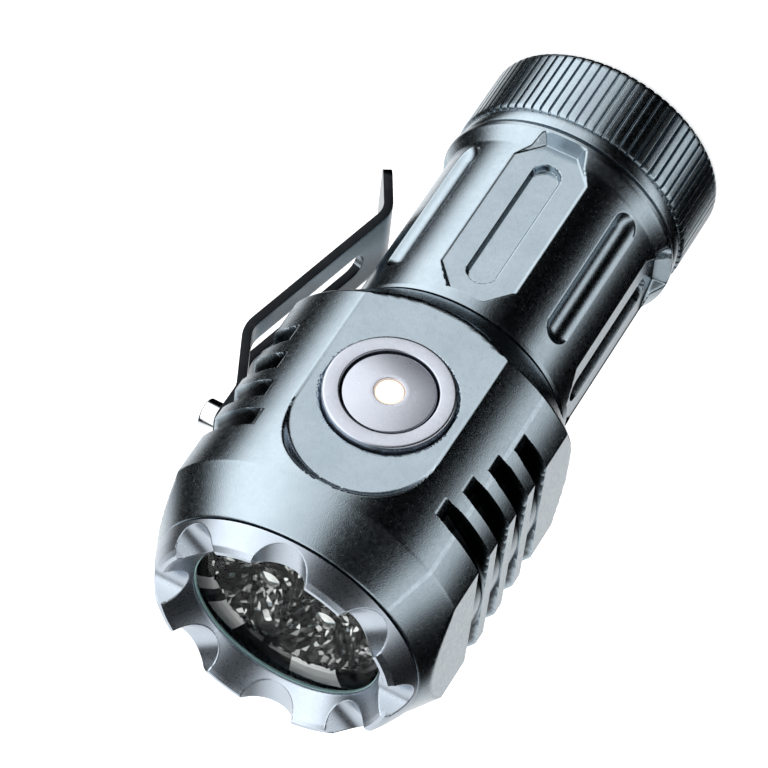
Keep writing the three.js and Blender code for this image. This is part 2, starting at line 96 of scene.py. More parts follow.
HEAD_R = 16.0
FLAT_D = 14.1
PAD_D = 14.2
PAD_HALF = 7.1
PAD_ROUND_Z = 49.9
PAD_TAPER = 0.25  # extra half width at the rear end
PAD_LENGTH = 18.7
PAD_WALL = (0.9, 0.5)  # slope of the side walls, and what the round end adds to it
BUTTON_Z = 46.1
SWITCH_HOLE_R = 6.32
SWITCH_HOLE_DEPTH = 2.4
FIN_Z = (42.4, 46.05, 49.65, 53.3)
FIN_HALF_W = 1.0
FIN_SPAN = (44.0, 48.0, 51.5, 55.0)  # degrees either side of the X axis
FIN_RAMP = 14.0  # degrees
FIN_RAMP_SHARE = (0.0, 0.28, 0.5, 1.0)
FIN_RAMP_R = (HEAD_R + 0.05, HEAD_R - 0.55, 14.3, FLAT_D - 0.12)  # groove floor at those shares
FIN_WALL = 14.0
FIN_EDGE_ROWS = (-0.05, 0.0, 0.03, 0.06, 0.09, 0.12, 0.15, 0.18, 0.22)

SCALLOP_COUNT = 8
SCALLOP_R = 2.7
SCALLOP_CENTRE_Z = 66.6

LED_RADIUS = 4.4
LED_ANGLE = 26.0
OPTIC_FLOOR_Z = 58.2
OPTIC_TOP_Z = 61.15
LEDGE_WHITE = ((14, 27), (36, 53), (88, 119))  # degrees round the ledge that get a painted white reflection

CLIP_HALF = 4.1
CLIP_T = 0.9
CLIP_PATH = ((14.9, 50.0), (14.9, 45.7), (17.7, 39.55), (12.95, 20.87), (15.75, 16.0))
CLIP_BEND_R = (0.0, 2.0, 3.2, 2.6, 0.0)
CLIP_SLOT_HALF = 1.5
CLIP_SLOT_Z = (24.4, 41.6)
SCREW_Z = 47.5
SCREW_SEAT_X = 15.66
SCREW_HEAD = 1.92
HEX_SIZE = 0.76

CAMERA_AT = (-88.9, -343.0, 256.6)
CAMERA_TARGET = (5.0, 0.4, 35.8)
CAMERA_ROLL = -145.8  # degrees

# ---- small maths -----------------------------------------------------------------------------


def smooth_min(a, b, k):
    """The lower of two fields, with the crease between them rounded over about k."""
    h = np.clip(0.5 + 0.5 * (b - a) / k, 0.0, 1.0)
    return b * (1.0 - h) + a * h - k * h * (1.0 - h)


def smooth_max(a, b, k):
    return -smooth_min(-a, -b, k)


def ramp(value, low, high):
    t = np.clip((value - low) / (high - low), 0.0, 1.0)
    return t * t * (3.0 - 2.0 * t)


def angle_from(theta, centre):
    """Signed angle from centre, in radians, for theta and centre in degrees."""
    return np.radians((theta - centre + 180.0) % 360.0 - 180.0)


def spaced(low, high, step):
    return np.linspace(low, high, max(2, int(math.ceil((high - low) / step)) + 1))


# ---- meshes ----------------------------------------------------------------------------------


def mesh_piece(name, points, faces, body, finish, sharp=None):
    """A mesh from points in millimetres and an array of quads, riding on a body."""
    mesh = bpy.data.meshes.new(name)
    mesh.vertices.add(len(points))
    mesh.vertices.foreach_set("co", (np.asarray(points, np.float64) * MM).astype(np.float32).ravel())
    faces = np.asarray(faces, np.int32)
    sides = faces.shape[1]
    mesh.loops.add(faces.size)
    mesh.loops.foreach_set("vertex_index", faces.ravel())
    mesh.polygons.add(len(faces))
    mesh.polygons.foreach_set("loop_start", np.arange(0, faces.size, sides, dtype=np.int32))
    mesh.polygons.foreach_set("use_smooth", np.ones(len(faces), bool))
    mesh.update(calc_edges=True)
    mesh.validate()
    if sharp is not None:
        mesh.set_sharp_from_angle(angle=math.radians(sharp))
    mesh.materials.append(finish)
    piece = bpy.data.objects.new(name, mesh)
    bpy.context.scene.collection.objects.link(piece)
    if body is not None:
        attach(piece, body)
    return piece


def grid_faces(rows, columns, wrap_rows):
    """Quads of a grid that closes on itself across its columns, and across its rows if asked."""
    i = np.arange(rows if wrap_rows else rows - 1)[:, None]
    j = np.arange(columns)[None, :]
    a = i * columns + j
    b = i * columns + (j + 1) % columns
    c = ((i + 1) % rows) * columns + (j + 1) % columns
    d = ((i + 1) % rows) * columns + j
    return np.stack([a, b, c, d], axis=-1).reshape(-1, 4)


def around_z(radius, theta, height):
    turn = np.radians(theta)
    return np.stack([radius * np.cos(turn), radius * np.sin(turn), height + 0.0 * turn], axis=-1)


def around_y(radius, theta, y):
    """Points round the button's axis; y is measured outward, towards -Y."""
    turn = np.radians(theta)
    return np.stack([radius * np.cos(turn), -y + 0.0 * turn, BUTTON_Z + radius * np.sin(turn)], axis=-1)


def mark(piece, attribute, values, domain="POINT"):
    """Stores one number per vertex or face for the materials to read."""
    layer = piece.data.attributes.new(attribute, "FLOAT", domain)
    layer.data.foreach_set("value", np.asarray(values, np.float32).ravel())


def shell(name, radius, height, theta, body, finish, sharp=None, place=around_z, closed=True):
    """A surface of rows and columns: radius and height are (rows, columns) arrays."""
    radius, height, columns = np.broadcast_arrays(radius, height, theta[None, :])
    points = place(radius, columns, height).reshape(-1, 3)
    faces = grid_faces(radius.shape[0], radius.shape[1], closed)
    return mesh_piece(name, points, faces, body, finish, sharp)


def fixed_rows(corners, columns):
    """Rows of one radius and height each, for the parts of a section with nothing cut into them."""
    radius, height = np.array(corners, float).T
    return radius[:, None] + 0.0 * columns, height[:, None] + 0.0 * columns


def lathe(name, profile, body, finish, sides=96, place=around_z, closed=True, sharp=35.0):
    """A solid of revolution from a short list of [radius, height] corners."""
    profile = np.array(profile, float)
    theta = np.arange(sides) * 360.0 / sides
    return shell(name, profile[:, :1], profile[:, 1:], theta, body, finish, sharp, place, closed)


def rounded(corners, fillet, steps=5):
    """A closed outline with each corner cut by an arc that leaves its sides at most fillet away."""
    corners = np.array(corners, float)
    fillets = np.broadcast_to(fillet, len(corners))
    made = []
    for i, corner in enumerate(corners):
        before = corners[i - 1] - corner
        after = corners[(i + 1) % len(corners)] - corner
        size = min(fillets[i], 0.45 * np.linalg.norm(before), 0.45 * np.linalg.norm(after))
        if size < 1e-4:
            made.append(corner)
            continue
        start = corner + before / np.linalg.norm(before) * size
        end = corner + after / np.linalg.norm(after) * size
        for t in np.linspace(0.0, 1.0, steps):
            made.append((1 - t) ** 2 * start + 2 * t * (1 - t) * corner + t * t * end)
    return np.array(made)


# ---- materials -------------------------------------------------------------------------------


MIX_FIRST, MIX_SECOND, MIX_COLOUR = 6, 7, 2  # the Mix node's colour sockets, by position


class Nodes:
    """A material's node tree, built with short calls."""

    def __init__(self, name):
        self.material = bpy.data.materials.new(name)
        self.material.use_nodes = True
        self.tree = self.material.node_tree
        self.shader = self.tree.nodes["Principled BSDF"]
        self.place = self.tree.nodes.new("ShaderNodeTexCoord").outputs["Object"]

    def link(self, source, target):
        self.tree.links.new(source, target)

    def add(self, kind, inputs=(), **settings):
        node = self.tree.nodes.new(kind)
        for key, value in settings.items():
            setattr(node, key, value)
        for key, value in dict(inputs).items():
            if isinstance(value, bpy.types.NodeSocket):
                self.link(value, node.inputs[key])
            else:
                node.inputs[key].default_value = value
        return node

    def noise(self, size, detail=2.0, roughness=0.55):
        """Fractal noise whose grains are about size millimetres across."""
        scale = 1.0 / (size * MM)
        inputs = {"Vector": self.place, "Scale": scale, "Detail": detail, "Roughness": roughness}
        return self.add("ShaderNodeTexNoise", inputs).outputs["Fac"]

    def stored(self, attribute):
        """A number that mark() has put on the mesh; 0 where the mesh has none."""
        return self.add("ShaderNodeAttribute", attribute_name=attribute).outputs["Fac"]

    def spread(self, source, low, high, start=0.3, stop=0.7):
        inputs = {"Value": source, "From Min": start, "From Max": stop, "To Min": low, "To Max": high}
        return self.add("ShaderNodeMapRange", inputs).outputs[0]

    def maths(self, operation, a, b):
        return self.add("ShaderNodeMath", {0: a, 1: b}, operation=operation).outputs[0]

    def tint(self, factor, first, second):
        """A mix of two colours; the first may also come from another node."""
        node = self.add("ShaderNodeMix", data_type="RGBA")
        self.link(factor, node.inputs["Factor"])
        if isinstance(first, bpy.types.NodeSocket):
            self.link(first, node.inputs[MIX_FIRST])
        else:
            node.inputs[MIX_FIRST].default_value = (*first, 1.0)
        node.inputs[MIX_SECOND].default_value = (*second, 1.0)
        return node.outputs[MIX_COLOUR]

    def relief(self, height, depth):
        """Bump with a full height of depth millimetres."""
        node = self.add("ShaderNodeBump", {"Height": height, "Distance": depth * MM, "Strength": 1.0})
        self.link(node.outputs[0], self.shader.inputs["Normal"])

    def set(self, **values):
        for key, value in values.items():
            self.shader.inputs[key.replace("_", " ")].default_value = value


PAINTED_GROOVE_SHADE = 0.12  # how much colour the painted shade leaves at the bottom of a deep groove


def blasted_metal(name, dark, light, roughness, grain, depth, edge_light):
    """Bead-blasted metal: fine pits, cloudy colour, painted shade in deep grooves and a painted highlight
    on sharp edges.
    """
    n = Nodes(name)
    colour = n.tint(n.spread(n.noise(3.0, 3.0), 0.0, 1.0), dark, light)
    # painted shade: the colour darkens in deep grooves, by the groove depth stored on the mesh
    colour = n.tint(n.stored("groove_shade"), colour, [c * PAINTED_GROOVE_SHADE for c in dark])
    edges = n.add("ShaderNodeNewGeometry").outputs["Pointiness"]
    # painted highlight: sharp edges, found from pointiness, get a lighter colour in patches
    edge_highlight = n.maths("MULTIPLY", n.spread(edges, 0.0, 1.0, 0.52, 0.62), n.spread(n.noise(0.5), 0.4, 1.0))
    colour = n.tint(edge_highlight, colour, [min(1.0, c * (1.0 + edge_light)) for c in light])
    n.link(colour, n.shader.inputs["Base Color"])
    sheen = n.spread(n.noise(grain * 2.5, 3.0), roughness - 0.035, roughness + 0.045)
    n.link(sheen, n.shader.inputs["Roughness"])
    n.relief(n.noise(grain, 2.0, 0.6), depth)
    n.set(Metallic=1.0)
    return n.material


def plain_coat(name, first, second, roughness, grain, depth, metallic=0.0):
    """Moulded, painted or wound surfaces: two close colours, a fine grain and a soft sheen."""
    n = Nodes(name)
    colour = n.tint(n.spread(n.noise(grain * 6.0, 3.0), 0.0, 1.0), first, second)
    n.link(colour, n.shader.inputs["Base Color"])
    sheen = n.spread(n.noise(grain * 2.0), roughness - 0.05, roughness + 0.05)
    n.link(sheen, n.shader.inputs["Roughness"])
    n.relief(n.noise(grain), depth)
    n.set(Metallic=metallic)
    return n.material


ANODISED = blasted_metal(
    "anodised_blast", (0.335, 0.405, 0.455), (0.375, 0.445, 0.495), 0.23, 0.14, 0.010, 0.3
)
BEZEL = blasted_metal(
    "bezel_satin", (0.44, 0.50, 0.57), (0.50, 0.56, 0.63), 0.29, 0.07, 0.0012, 0.2
)
BUTTON = blasted_metal(
    "button_satin", (0.52, 0.55, 0.62), (0.56, 0.59, 0.66), 0.30, 0.09, 0.001, 0.2
)
SPRING = blasted_metal("clip_steel", (0.24, 0.28, 0.31), (0.29, 0.33, 0.36), 0.30, 0.12, 0.004, 0.3)
SPRING_EDGE = blasted_metal(
    "clip_cut_edge", (0.010, 0.012, 0.014), (0.02, 0.022, 0.025), 0.30, 0.12, 0.004, 0.3
)
BRIGHT = blasted_metal(
    "bright_steel", (0.70, 0.74, 0.78), (0.78, 0.82, 0.85), 0.16, 0.1, 0.001, 0.1
)
GOLD = blasted_metal("gold_contact", (0.74, 0.56, 0.24), (0.80, 0.63, 0.30), 0.24, 0.2, 0.001, 0.1)
RUBBER = plain_coat("black_rubber", (0.012, 0.012, 0.013), (0.02, 0.02, 0.022), 0.6, 0.12, 0.004)
BOARD = plain_coat("green_board", (0.015, 0.075, 0.045), (0.02, 0.10, 0.06), 0.35, 0.25, 0.003)
WHITE_BOARD = plain_coat("white_board", (0.75, 0.75, 0.72), (0.82, 0.82, 0.79), 0.4, 0.25, 0.003)
WRAP = plain_coat("cell_sleeve", (0.02, 0.14, 0.30), (0.025, 0.17, 0.35), 0.32, 0.6, 0.006)
RED = plain_coat("red_insulation", (0.42, 0.03, 0.02), (0.50, 0.04, 0.03), 0.45, 0.2, 0.003)
BLACK = plain_coat("black_insulation", (0.014, 0.014, 0.016), (0.02, 0.02, 0.022), 0.45, 0.2, 0.003)
PHOSPHOR = plain_coat("phosphor", (0.75, 0.60, 0.14), (0.85, 0.70, 0.20), 0.5, 0.05, 0.002)


def clear_glass():
    n = Nodes("coated_glass")
    n.link(n.tint(n.noise(4.0), (0.95, 0.98, 0.98), (0.97, 0.99, 0.99)), n.shader.inputs["Base Color"])
    n.link(n.spread(n.noise(2.0), 0.0, 0.02), n.shader.inputs["Roughness"])
    n.set(Transmission_Weight=1.0, IOR=1.07)
    return n.material


def lit_lens():
    """The indicator, glowing white with a warmer rim."""
    n = Nodes("lit_lens")
    rim = n.maths("MULTIPLY", n.stored("rim"), n.spread(n.noise(0.6), 0.8, 1.0))
    warm = n.tint(rim, (1.0, 0.985, 0.95), (0.86, 0.66, 0.50))
    n.link(warm, n.shader.inputs["Base Color"])
    n.link(warm, n.shader.inputs["Emission Color"])
    n.set(Emission_Strength=0.85, Roughness=0.3, Specular_IOR_Level=0.2)
    return n.material


def moulded_optic():
    """Clear facets seen against a dark back, drawn as dark metal; the light that some faces catch is a
    painted highlight in their colour.
    """
    n = Nodes("optic_facets")
    colour = n.tint(n.stored("lit"), (0.012, 0.012, 0.012), (0.80, 0.80, 0.78))
    n.link(colour, n.shader.inputs["Base Color"])
    n.link(n.spread(n.noise(0.8), 0.05, 0.12), n.shader.inputs["Roughness"])
    n.set(Metallic=0.9)
    return n.material


OPTIC = moulded_optic()
GLASS_EDGE = plain_coat(
    "glass_rim_tint", (0.30, 0.50, 0.50), (0.36, 0.56, 0.56), 0.15, 0.4, 0.001, 0.5
)
# painted reflection: a plain white finish for stretches of the optic's ledge
PAINTED_LEDGE_REFLECTION = plain_coat(
    "painted_ledge_reflection", (0.9, 0.9, 0.88), (0.97, 0.97, 0.95), 0.4, 0.5, 0.001, 0.3
)
GLASS = clear_glass()
LIT = lit_lens()

# ---- tail cap --------------------------------------------------------------------------------


def cap_piece():
    columns = RIB_COUNT * RIB_COLUMNS
    theta = np.arange(columns) * 360.0 / columns
    phase = np.abs((theta * RIB_COUNT / 360.0 + 0.5) % 1.0 - 0.5)
    land = 1.0 - ramp(phase, *RIB_EDGE)
    rows = []

    def row(radius, height):
        rows.append((radius + 0.0 * theta, height + 0.0 * theta))

    def rib_row(share, height, inset=0.0):
        row(CAP_VALLEY_R - inset + (CAP_R - CAP_VALLEY_R) * land * share, height)

    row(CAP_BORE_R, CAP_TOP)
    row(CAP_BORE_R, CAP_FLOOR)
    row(0.01, CAP_FLOOR)
    row(0.01, 0.0)
    row(10.9, 0.0)
    row(CAP_VALLEY_R - 0.55, 0.02)
    rib_row(0.0, 0.18, 0.28)
    rib_row(0.35, 0.34, 0.08)
    rib_row(0.85, 0.62)
    rib_row(1.0, 0.85)
    for height in np.linspace(1.2, RIB_TOP - 0.65, 8):
        rib_row(1.0, height)
    rib_row(0.97, RIB_TOP - 0.34)
    rib_row(0.75, RIB_TOP - 0.16)
    rib_row(0.2, RIB_TOP - 0.03)
    rib_row(0.0, RIB_TOP)
    row(CAP_BAND_R - 0.10, RIB_TOP + 0.03)
    row(CAP_BAND_R - 0.02, RIB_TOP + 0.10)
    row(CAP_BAND_R, RIB_TOP + 0.2)
    row(CAP_BAND_R, CAP_TOP - 0.22)
    row(CAP_BAND_R - 0.05, CAP_TOP - 0.08)
    row(CAP_BAND_R - 0.18, CAP_TOP)
    radius = np.array([r for r, _ in rows])
    height = np.array([h for _, h in rows])
    piece = shell("tail_cap_shell", radius, height, theta, "tail", ANODISED, 40.0)
    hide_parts("tail_cap")


cap_piece()

# ---- body tube -------------------------------------------------------------------------------


def panel_field(theta, z, centre):
    """Radius of one flat panel with its obround recess, rising past the panel's edge."""
    turn = angle_from(theta, centre)
    near = np.abs(turn) < math.radians(42.0)
    cosine = np.where(near, np.cos(turn), 1.0)
    across = np.where(near, np.abs(PANEL_D * np.tan(np.where(near, turn, 0.0))), 50.0)
    along = np.abs(z - PANEL_MID_Z)
    half_w, half_l = PANEL_HALF
    cut_w, cut_l = PANEL_CORNER
    corner = ((across - half_w) * cut_l + (along - half_l + cut_l) * cut_w) / math.hypot(cut_w, cut_l)
    side = (across - half_w) * SIDE_SLOPE
    end = np.maximum(along - half_l, corner) * END_SLOPE
    wall = smooth_max(np.maximum(side, end), 0.0 * end, 0.05)
    middle = (POCKET_Z[0] + POCKET_Z[1]) / 2
    reach = np.maximum(np.abs(z - middle) - (POCKET_Z[1] - POCKET_Z[0]) / 2 + POCKET_HALF, 0.0)
    recess = POCKET_DEPTH * (1.0 - ramp(np.hypot(across, reach) - POCKET_HALF, -POCKET_WALL, 0.0))
    return (PANEL_D - recess + wall) / cosine


def groove_field(theta, z, centre):
    """Radius of one round-bottomed groove with round ends, and a large value away from it."""
    turn = angle_from(theta, centre)
    beyond = np.maximum(np.maximum(GROOVE_Z[0] - z, z - GROOVE_Z[1]), 0.0)
    under = GROOVE_R**2 - beyond**2 - (GROOVE_CENTRE * np.sin(turn)) ** 2
    field = GROOVE_CENTRE * np.cos(turn) - np.sqrt(np.maximum(under, 0.0))
    return np.where(np.cos(turn) > 0.985, field, 50.0)


def tube_outer(theta, z):
    """Radius of the tube's outside: flange, panels, grooves and the blind lanyard hole."""
    profile = np.array([(9.9, 12.02), (9.98, 12.18), (10.14, 12.29), (10.72, 12.3), (10.86, 12.25),
                        (11.92, 11.54), (12.12, 11.5), (31.6, 11.5), (31.9, 11.4)])
    radius = np.interp(z, profile[:, 0], profile[:, 1]) + 0.0 * theta
    for quarter in range(4):
        radius = smooth_min(radius, panel_field(theta, z, -90.0 + TUBE_CLOCKING + 90.0 * quarter), 0.05)
    for middle in (-90.0, 90.0):
        for side in (-GROOVE_ANGLE, GROOVE_ANGLE):
            radius = smooth_min(radius, groove_field(theta, z, middle + side + TUBE_CLOCKING), 0.06)
    away = np.hypot(angle_from(theta, HOLE_ANGLE) * TUBE_R, (z - HOLE_Z) * 1.05)
    lip = 0.05 * np.exp(-(((away - 1.05) / 0.12) ** 2))
    return radius + lip - HOLE_DEPTH * (1.0 - ramp(away, 0.62, 0.92))


def tube_piece():
    theta = np.arange(800) * 360.0 / 800
    outer_z = np.concatenate([
        spaced(9.9, 12.9, 0.09)[:-1],
        spaced(12.9, 14.7, 0.06)[:-1],
        spaced(14.7, 26.9, 0.4)[:-1],
        spaced(26.9, 28.7, 0.06)[:-1],
        spaced(28.7, 31.9, 0.1),
    ])[:, None]
    columns = theta[None, :]
    neck_z = spaced(5.5, 9.8, 0.06)[:, None]
    screw = np.sin(2 * math.pi * (neck_z / NECK_THREAD_PITCH - columns / 360.0))
    thread = NECK_THREAD_R + NECK_THREAD_DEPTH * screw
    seal = ramp(np.abs(neck_z - SEAL_Z), 0.78, 0.84)
    shoulder = ramp(np.abs(neck_z - SEAL_Z), 1.0, 1.08)
    neck = NECK_GROOVE_R + (NECK_LAND_R - NECK_GROOVE_R) * seal * (1 - shoulder)
    neck = neck + (thread - NECK_GROOVE_R) * shoulder
    inside_and_foot = [
        (TUBE_BORE_R, 37.9), (TUBE_BORE_R, 5.5), (TUBE_BORE_R + 0.12, NECK_BOTTOM), (10.2, NECK_BOTTOM)
    ]
    tenon = [(10.9, 31.95), (10.9, 37.8), (10.75, 38.0), (9.6, 38.0)]
    parts = [
        fixed_rows(inside_and_foot, columns),
        (neck, neck_z + 0 * columns),
        fixed_rows([(10.5, 9.9)], columns),
        (tube_outer(columns, outer_z), outer_z + 0 * columns),
        fixed_rows(tenon, columns),
    ]
    radius = np.concatenate([r for r, _ in parts])
    height = np.concatenate([h for _, h in parts])
    piece = shell("body_tube_shell", radius, height, theta, "light_body", ANODISED, 42.0)
    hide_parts("body_tube")


tube_piece()

# ---- head ------------------------------------------------------------------------------------


def pad_field(theta, z):
    """Radius of the flat button pad with its round front end, and of the hole under the button."""
    turn = angle_from(theta, -90.0)
    near = np.abs(turn) < math.radians(60.0)
    cosine = np.where(near, np.cos(turn), 1.0)
    across = np.where(near, PAD_D * np.tan(np.where(near, turn, 0.0)), 50.0)
    past = z - PAD_ROUND_Z
    width = PAD_HALF + PAD_TAPER * np.clip(-past / PAD_LENGTH, 0.0, 1.0)
    away = np.where(past > 0.0, np.hypot(across, past) - PAD_HALF, np.abs(across) - width)
    lean = np.clip(past / PAD_HALF, 0.0, 1.0)
    steep = PAD_WALL[0] + PAD_WALL[1] * lean
    wall = smooth_max(away * steep, 0.0 * away, 0.06)
    hole = np.hypot(across, z - BUTTON_Z) - SWITCH_HOLE_R
    sunk = SWITCH_HOLE_DEPTH * (1.0 - ramp(hole, -0.34, 0.02))
    return (PAD_D + wall - sunk) / cosine


def fin_field(theta, z, middle, span):
    """Radius of one cooling groove's floor, which ramps down from both of its ends."""
    from_axis = np.abs((theta + 90.0) % 180.0 - 90.0)
    share = (span - from_axis) / FIN_RAMP
    floor = np.interp(share, FIN_RAMP_SHARE, FIN_RAMP_R)
    floor = np.where(share < 0.0, FIN_RAMP_R[0] - share * 3.0, floor)
    return floor + FIN_WALL * np.maximum(np.abs(z - middle) - FIN_HALF_W, 0.0)


def side_flat(theta):
    """Radius of the flats on the +X and -X sides."""
    return FLAT_D / np.maximum(np.abs(np.cos(np.radians(theta))), 0.2)


def head_outer(theta, z):
    profile = np.array([(32.2, 11.5), (32.28, 11.62), (37.02, 15.92), (37.16, 16.0), (58.8, 16.0),
                        (58.95, 15.95), (63.2, 13.5), (63.3, 13.36)])
    radius = np.interp(z, profile[:, 0], profile[:, 1]) + 0.0 * theta
    radius = smooth_min(radius, side_flat(theta), 0.07)
    radius = smooth_min(radius, pad_field(theta, z), 0.06)
    for middle, span in zip(FIN_Z, FIN_SPAN):
        radius = smooth_min(radius, fin_field(theta, z, middle, span), 0.08)
    return radius


def head_rows():
    """Heights of the mesh rows, closest together at the edges of the cooling grooves."""
    rows = [
        spaced(32.2, 32.4, 0.1),
        spaced(32.5, 36.9, 0.4),
        spaced(36.9, 37.3, 0.1),
        spaced(37.4, 58.7, 0.14),
        spaced(58.7, 59.1, 0.08),
        spaced(59.2, 63.0, 0.4),
        np.array([63.1, 63.2, 63.26, 63.3]),
    ]
    for middle in FIN_Z:
        for side in (-1.0, 1.0):
            rows.append(middle + side * (FIN_HALF_W + np.array(FIN_EDGE_ROWS)))
    merged = np.sort(np.concatenate(rows))
    return merged[np.concatenate([[True], np.diff(merged) > 0.018])]


def head_piece():
    theta = np.arange(780) * 360.0 / 780 - 180.0
    outer_z = head_rows()[:, None]
    columns = theta[None, :]
    rear = [(11.2, 50.5), (11.2, 32.3), (11.3, 32.2)]
    front_and_bore = [(13.1, 63.3), (12.3, 63.3), (12.2, 63.2), (12.2, 52.6), (2.0, 52.6), (2.0, 50.5)]
    parts = [
        fixed_rows(rear, columns),
        (head_outer(columns, outer_z), outer_z + 0 * columns),
        fixed_rows(front_and_bore, columns),
    ]
    radius = np.concatenate([r for r, _ in parts])
    height = np.concatenate([h for _, h in parts])
    piece = shell("head_shell", radius, height, theta, "light_body", ANODISED, 42.0)
    # painted shade: the base colour darkens with depth below the outer surface in the cooling grooves,
    # away from the pad
    depth = np.minimum(HEAD_R, side_flat(columns)) - radius
    grooved = np.zeros((len(radius), 1))
    grooved[len(rear):len(rear) + len(outer_z)] = (outer_z > 38.0) & (outer_z < 58.0)
    off_pad = np.abs(angle_from(columns, -90.0)) > math.radians(33.0)
    mark(piece, "groove_shade", ramp(depth, 0.1, 0.55) * grooved * off_pad)
    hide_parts("head_housing")


head_piece()

# ---- button ----------------------------------------------------------------------------------


def button_pieces():
    ring = rounded([(4.5, 12.8), (4.5, 14.98), (6.08, 14.98), (6.08, 12.8)], [0.05, 0.16, 0.3, 0.05])
    piece = lathe("button_bezel", ring, "light_body", BUTTON, 160, around_y)
    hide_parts("button_ring")
    corners = [
        (0.01, 13.45), (0.01, 14.5), (1.32, 14.5), (1.42, 14.99), (1.75, 14.99), (4.28, 14.74),
        (4.33, 13.45)
    ]
    cap = rounded(corners, [0, 0, 0.02, 0.08, 0.12, 0.14, 0])
    piece = lathe("button_face", cap, "button", BUTTON, 160, around_y)
    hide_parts("button_cap")
    lens = np.array([
        (0.01, 14.45), (1.28, 14.45), (1.28, 14.86), (1.2, 14.93), (1.02, 14.97), (0.8, 14.99),
        (0.01, 15.0)
    ])
    sides = 64
    piece = lathe("indicator_dome", lens, "button", LIT, sides, around_y, sharp=50.0)
    mark(piece, "rim", np.repeat(ramp(lens[:, 0], 0.85, 1.12), sides))
    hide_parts("indicator_lens")


button_pieces()

# ---- bezel -----------------------------------------------------------------------------------


def bezel_piece():
    theta = np.arange(960) * 360.0 / 960
    crown = [
        (13.45, 63.6), (12.95, 64.75), (12.45, 65.7), (11.97, 66.1), (11.6, 66.1), (11.3, 65.8),
        (9.6, 63.62)
    ]
    outline = []
    for (r0, z0), (r1, z1) in zip(crown[:-1], crown[1:]):
        count = max(3, int(math.hypot(r1 - r0, z1 - z0) / 0.09))
        for t in np.arange(count) / count:
            outline.append((r0 + (r1 - r0) * t, z0 + (z1 - z0) * t))
    outline += [
        (9.6, 63.62), (9.52, 63.5), (9.52, 63.25), (9.6, 63.2), (11.1, 63.2), (11.1, 58.4), (11.9, 58.4),
        (11.9, 63.6), (13.2, 63.6), (13.4, 63.62)
    ]
    outline = np.array(outline)
    radius = outline[:, :1] + 0.0 * theta[None, :]
    height = outline[:, 1:] + 0.0 * theta[None, :]
    pitch = 360.0 / SCALLOP_COUNT
    turn = np.radians((theta + pitch / 2) % pitch - pitch / 2)[None, :]
    across = radius * np.sin(turn)
    inside = np.maximum(SCALLOP_R**2 - across**2, 0.0)
    cut = np.where(across**2 < SCALLOP_R**2, SCALLOP_CENTRE_Z - np.sqrt(inside), 80.0)
    height = np.where(cut < 70.0, smooth_min(height, cut, 0.1), height)
    piece = shell("bezel_crown", radius, height, theta, "light_body", BEZEL, 38.0)
    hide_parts("bezel_ring")


bezel_piece()

# ---- optic and glass -------------------------------------------------------------------------


def optic_surface(spots):
    """The optic's face: four bowls over the emitters, broken into small flat facets."""
    rng = np.random.default_rng(7)
    sides = 132
    radii = spaced(0.2, 8.9, 0.3)
    theta = np.arange(sides) * 360.0 / sides
    turn = np.radians(theta[None, :] + (np.arange(radii.size) % 2)[:, None] * 180.0 / sides)
    wobble = rng.uniform(-0.16, 0.16, (3, radii.size, sides))
    x = radii[:, None] * np.cos(turn) + wobble[0]
    y = radii[:, None] * np.sin(turn) + wobble[1]
    away = np.min([np.hypot(x - a, y - b) for a, b in spots], axis=0)
    z = OPTIC_FLOOR_Z + 2.7 * np.clip((away - 1.3) / 3.0, 0.0, 1.0) ** 1.2 + wobble[2] * 0.9
    points = np.stack([x, y, np.minimum(z, OPTIC_TOP_Z)], axis=-1).reshape(-1, 3)
    faces = grid_faces(radii.size, sides, False)
    piece = mesh_piece("optic_facets", points, faces, "light_body", OPTIC, 1.0)
    chance = rng.uniform(0.0, 1.0, len(faces))
    # painted glints: about three faces in ten get a light colour at random, the rest stay near black
    mark(piece, "lit", np.where(chance > 0.70, (chance - 0.62) * 1.9, 0.04 * chance), "FACE")
    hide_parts("quad_optic")


def optic_rim():
    """The moulding's outer ledge, with white stretches painted on where it reflects light."""
    rng = np.random.default_rng(11)
    sides = 72
    theta = np.arange(sides) * 360.0 / sides
    profile = np.array([(8.7, 60.9), (9.1, 61.15), (9.9, 61.3), (10.7, 61.35)])
    radius, height = profile[:, :1], profile[:, 1:]
    piece = shell("optic_rim", radius, height, theta, "light_body", OPTIC, 1.0, closed=False)
    middle = theta + 180.0 / sides
    white = np.any([(middle > low) & (middle < high) for low, high in LEDGE_WHITE], axis=0)
    rings = len(profile) - 1
    # faint painted glints, at random, on each face of the ledge
    mark(piece, "lit", np.tile(rng.uniform(0.0, 0.12, sides), rings), "FACE")
    piece.data.materials.append(PAINTED_LEDGE_REFLECTION)
    for face, is_white in zip(piece.data.polygons, np.tile(white, rings)):
        face.material_index = int(is_white)


def optic_eye(index, x, y):
    """The clear lens over one emitter, at the bottom of its bowl."""
    profile = np.array([
        (0.01, 58.3), (1.5, 58.3), (1.5, 58.75), (1.15, 59.05), (1.0, 58.9), (0.5, 59.05), (0.01, 59.1)
    ])
    painted_highlight = [0.0, 0.02, 0.06, 0.25, 0.9, 1.0]  # painted highlight of each ring of faces, outwards in
    sides = 32
    theta = np.arange(sides) * 360.0 / sides
    points = around_z(profile[:, :1], theta[None, :], profile[:, 1:]).reshape(-1, 3) + (x, y, 0.0)
    faces = grid_faces(len(profile), sides, False)
    piece = mesh_piece(f"optic_eye_{index}", points, faces, "light_body", OPTIC, 30.0)
    mark(piece, "lit", np.repeat(painted_highlight, sides), "FACE")


